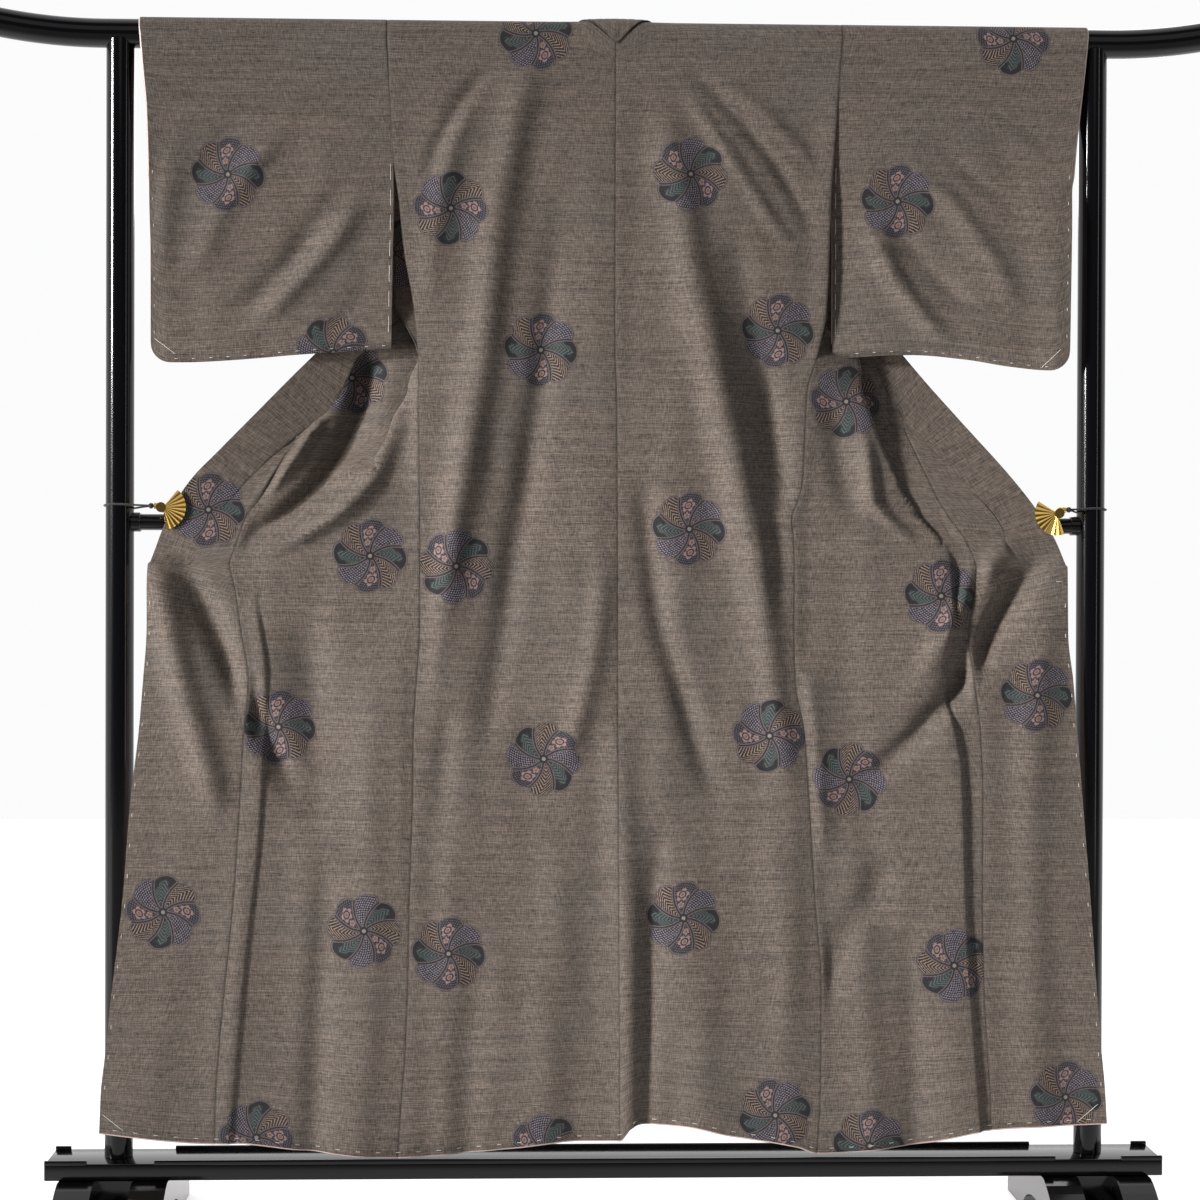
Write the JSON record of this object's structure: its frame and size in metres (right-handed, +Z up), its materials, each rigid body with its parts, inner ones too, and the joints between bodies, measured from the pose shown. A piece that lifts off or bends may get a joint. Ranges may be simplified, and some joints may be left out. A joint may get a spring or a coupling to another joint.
{
  "type": "kimono on a kimono stand",
  "caption": "Lined kimono hung back outward through its sleeves on a lacquered stand, both fronts drawn out to the sides and held to the posts by fan clips.",
  "frame": {"origin": "on the floor under the middle of the stand", "axes": "+X to the right along the bar as the back of the garment is seen, +Y away from the back of the garment, +Z up"},
  "size_m": [1.8182, 0.38, 1.7008],
  "materials": {
    "cloth": "matt slubbed silk, grey brown, with woven round flower medallions",
    "lacquer": "black gloss lacquer",
    "gold_clip": "bright gold plated metal",
    "elastic": "black round elastic",
    "thread": "white basting thread",
    "lining": "smooth pale pink silk lining"
  },
  "bodies": {
    "root": {"back_left": "cloth", "back_right": "cloth", "front_left": "cloth", "front_right": "cloth", "okumi_left": "cloth", "okumi_right": "cloth", "collar_left": "cloth", "collar_right": "cloth", "over_collar": "cloth", "sleeve_left": "cloth", "sleeve_right": "cloth", "top_bar": "lacquer", "bar_end_left": "lacquer", "bar_end_right": "lacquer", "mid_rail": "lacquer", "base_beam": "lacquer", "post_left": "lacquer", "foot_left": "lacquer", "post_right": "lacquer", "foot_right": "lacquer", "clip_left": "gold_clip", "clip_right": "gold_clip", "elastic_left": "elastic", "elastic_right": "elastic"}
  },
  "joints": []
}
